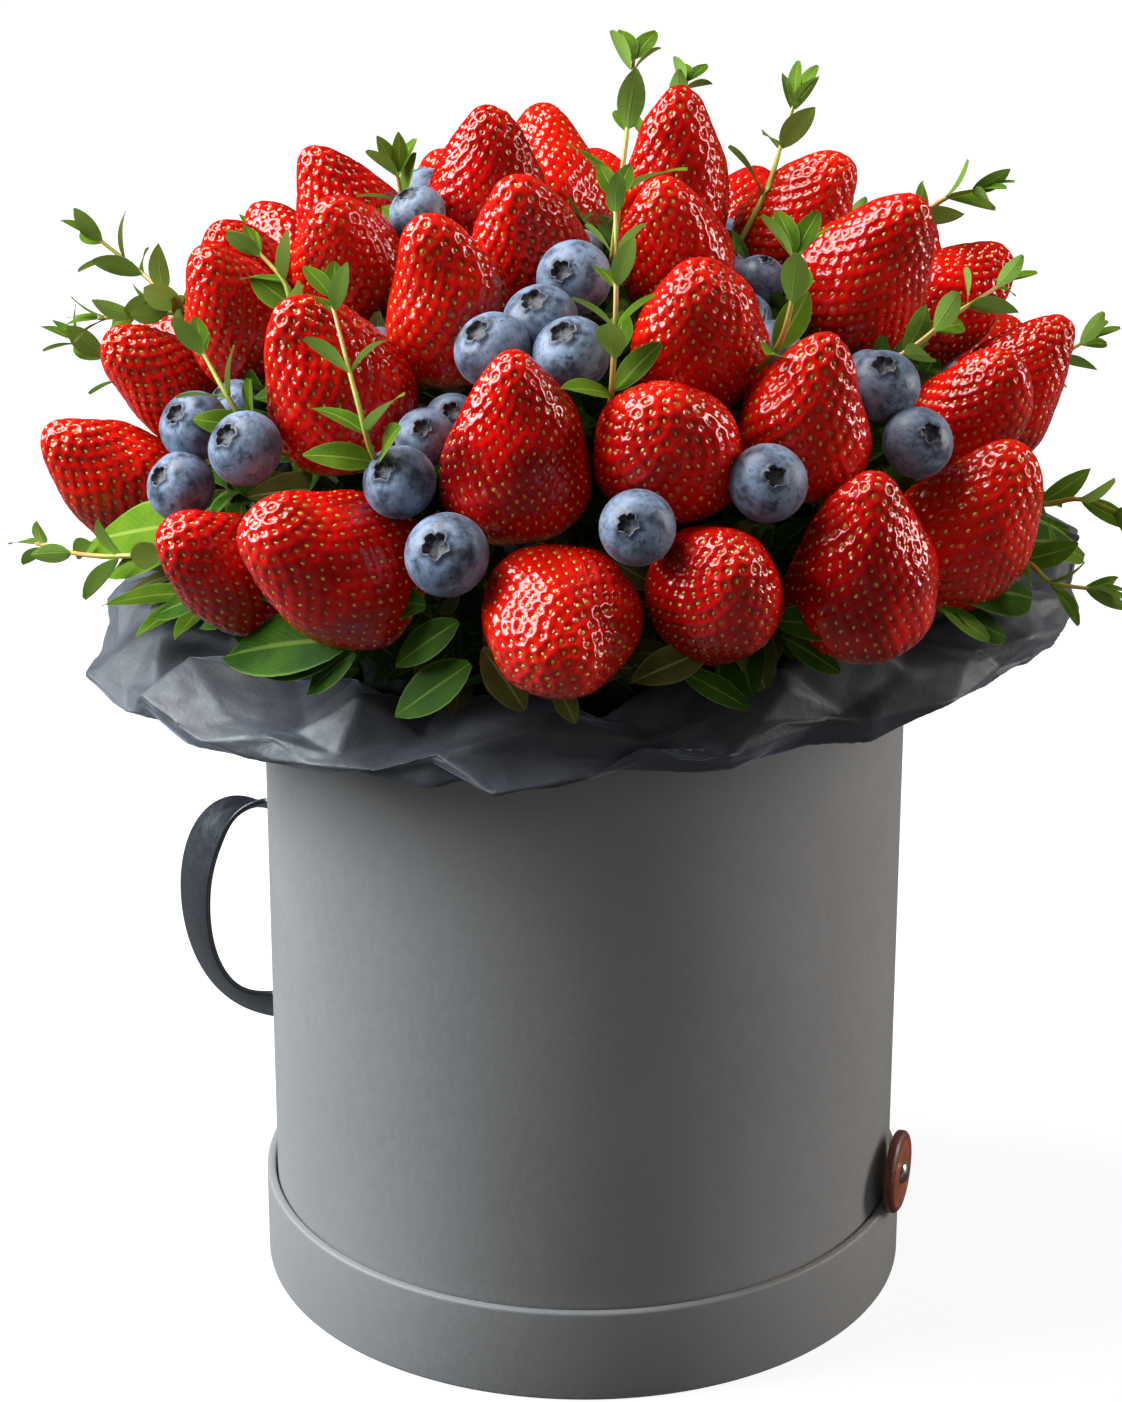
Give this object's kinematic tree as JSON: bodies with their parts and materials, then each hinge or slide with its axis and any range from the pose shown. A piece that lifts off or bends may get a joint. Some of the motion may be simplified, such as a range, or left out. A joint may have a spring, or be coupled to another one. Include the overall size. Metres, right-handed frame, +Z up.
{
  "type": "strawberry and blueberry bouquet in a round hat box",
  "caption": "Dome of whole strawberries and blueberries with green sprigs, set in black paper in a round grey hat box with a side strap and a leather disc.",
  "frame": {"origin": "centre of the upturned lid's underside, on the box's axis", "axes": "+Z up along the box's axis; -Y is the front of the bouquet; the strap is on the -X side and the leather disc near +X"},
  "size_m": [0.2866, 0.296, 0.3439],
  "materials": {
    "grey_card": "matte",
    "black_paper": "satin",
    "leaf_green": "satin",
    "black_strap": "satin",
    "brown_leather": "satin",
    "bright_metal": "satin",
    "strawberry_red": "gloss",
    "blueberry_blue": "matte"
  },
  "bodies": {
    "root": {"box_body": "grey_card", "box_lid": "grey_card", "paper_collar": "black_paper", "greenery_bed": "leaf_green", "strap_handle": "black_strap", "leather_disc": "brown_leather", "disc_stud": "bright_metal", "strawberry_crown_1": "strawberry_red", "strawberry_crown_2": "strawberry_red", "strawberry_crown_3": "strawberry_red", "strawberry_crown_4": "strawberry_red", "strawberry_crown_5": "strawberry_red", "strawberry_crown_6": "strawberry_red", "strawberry_upper_1": "strawberry_red", "strawberry_upper_2": "strawberry_red", "strawberry_upper_3": "strawberry_red", "strawberry_upper_4": "strawberry_red", "strawberry_upper_5": "strawberry_red", "strawberry_upper_6": "strawberry_red", "strawberry_upper_7": "strawberry_red", "strawberry_middle_1": "strawberry_red", "strawberry_middle_2": "strawberry_red", "strawberry_middle_3": "strawberry_red", "strawberry_middle_4": "strawberry_red", "strawberry_middle_5": "strawberry_red", "strawberry_middle_6": "strawberry_red", "strawberry_middle_7": "strawberry_red", "strawberry_middle_8": "strawberry_red", "strawberry_lower_1": "strawberry_red", "strawberry_lower_2": "strawberry_red", "strawberry_lower_3": "strawberry_red", "strawberry_lower_4": "strawberry_red", "strawberry_lower_5": "strawberry_red", "strawberry_lower_6": "strawberry_red", "strawberry_lower_7": "strawberry_red", "strawberry_lower_8": "strawberry_red", "strawberry_lower_9": "strawberry_red", "strawberry_lower_10": "strawberry_red", "strawberry_back_1": "strawberry_red", "strawberry_back_2": "strawberry_red", "strawberry_back_3": "strawberry_red", "strawberry_back_4": "strawberry_red", "strawberry_back_5": "strawberry_red", "strawberry_back_6": "strawberry_red", "strawberry_back_7": "strawberry_red", "strawberry_back_8": "strawberry_red", "blueberry_01": "blueberry_blue", "blueberry_02": "blueberry_blue", "blueberry_03": "blueberry_blue", "blueberry_04": "blueberry_blue", "blueberry_05": "blueberry_blue", "blueberry_06": "blueberry_blue", "blueberry_07": "blueberry_blue", "blueberry_08": "blueberry_blue", "blueberry_09": "blueberry_blue", "blueberry_10": "blueberry_blue", "blueberry_11": "blueberry_blue", "blueberry_12": "blueberry_blue", "blueberry_13": "blueberry_blue"}
  },
  "joints": []
}
